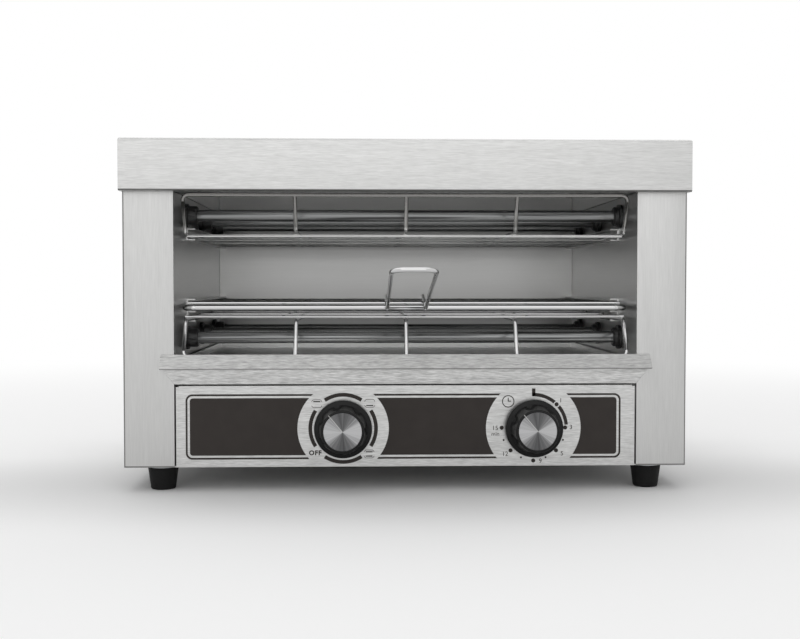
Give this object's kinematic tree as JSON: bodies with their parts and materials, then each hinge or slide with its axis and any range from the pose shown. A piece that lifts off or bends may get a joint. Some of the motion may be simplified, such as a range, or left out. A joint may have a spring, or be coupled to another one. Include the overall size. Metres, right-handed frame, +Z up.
{
  "type": "quartz toaster",
  "caption": "Table-top quartz toaster: folded stainless cabinet, open front, sliding wire rack between guarded tube heaters, crumb tray, selector and timer knobs.",
  "frame": {"origin": "middle of the whole object's footprint, handle and cable gland included, on the surface that the feet stand on", "axes": "+X to the right as the user sees it, +Y to the back, +Z up"},
  "size_m": [0.45, 0.4606, 0.2785],
  "materials": {
    "brushed_shell": "brushed stainless sheet",
    "satin_liner": "satin stainless sheet",
    "chromed_wire": "bright plated wire",
    "quartz": "milky quartz tube",
    "heating_wire": "oxidised heating wire",
    "zinc_plate": "zinc plated",
    "black_moulding": "moulded, slightly satin",
    "spun_alloy": "spun face",
    "switch_moulding": "moulded",
    "lead_sleeve": "glass fibre sleeve",
    "black_rubber": "moulded rubber"
  },
  "bodies": {
    "body": {"top_cap": "brushed_shell", "left_side_panel": "brushed_shell", "right_side_panel": "brushed_shell", "back_panel": "brushed_shell", "control_panel": "brushed_shell", "deck": "brushed_shell", "left_liner": "satin_liner", "right_liner": "satin_liner", "rear_liner": "satin_liner", "ceiling_pan": "satin_liner", "base_plate": "satin_liner", "left_upper_runner": "satin_liner", "right_upper_runner": "satin_liner", "left_rack_runner": "satin_liner", "right_rack_runner": "satin_liner", "left_lower_runner": "satin_liner", "right_lower_runner": "satin_liner", "upper_guard": "chromed_wire", "lower_guard": "chromed_wire", "upper_front_tube": "quartz", "upper_middle_tube": "quartz", "upper_rear_tube": "quartz", "lower_front_tube": "quartz", "lower_middle_tube": "quartz", "lower_rear_tube": "quartz", "upper_coils": "heating_wire", "lower_coils": "heating_wire", "upper_terminals": "zinc_plate", "lower_terminals": "zinc_plate", "left_bus_bars": "zinc_plate", "right_bus_bars": "zinc_plate", "timer_unit": "zinc_plate", "panel_nuts": "zinc_plate", "foot_washers": "zinc_plate", "foot_screws": "zinc_plate", "back_screws": "zinc_plate", "upper_left_holders": "black_moulding", "upper_right_holders": "black_moulding", "lower_left_holders": "black_moulding", "lower_right_holders": "black_moulding", "cable_gland": "black_moulding", "gland_nut": "black_moulding", "selector_switch": "switch_moulding", "terminal_block": "switch_moulding", "supply_leads": "lead_sleeve", "heater_leads": "lead_sleeve", "front_left_foot": "black_rubber", "front_right_foot": "black_rubber", "rear_left_foot": "black_rubber", "rear_right_foot": "black_rubber"},
    "rack": {"rack_frame": "chromed_wire", "rack_handle": "chromed_wire"},
    "tray": {"crumb_tray": "brushed_shell"},
    "selector": {"selector_knob": "black_moulding", "selector_disc": "spun_alloy", "selector_shaft": "zinc_plate"},
    "timer": {"timer_knob": "black_moulding", "timer_disc": "spun_alloy", "timer_shaft": "zinc_plate"}
  },
  "joints": [
    {"name": "rack_slide", "type": "slide", "parent": "body", "child": "rack", "axis": [0, -1, 0], "range_m": [0, 0.16]},
    {"name": "tray_slide", "type": "slide", "parent": "body", "child": "tray", "axis": [0, -1, 0], "range_m": [0, 0.22]},
    {"name": "selector_turn", "type": "hinge", "parent": "body", "child": "selector", "pos_m": [-0.0506, -0.08969, 0.0501], "axis": [0, 1, 0], "continuous": true},
    {"name": "timer_turn", "type": "hinge", "parent": "body", "child": "timer", "pos_m": [0.1012, -0.08969, 0.0501], "axis": [0, 1, 0], "range_deg": [0, 315]}
  ]
}
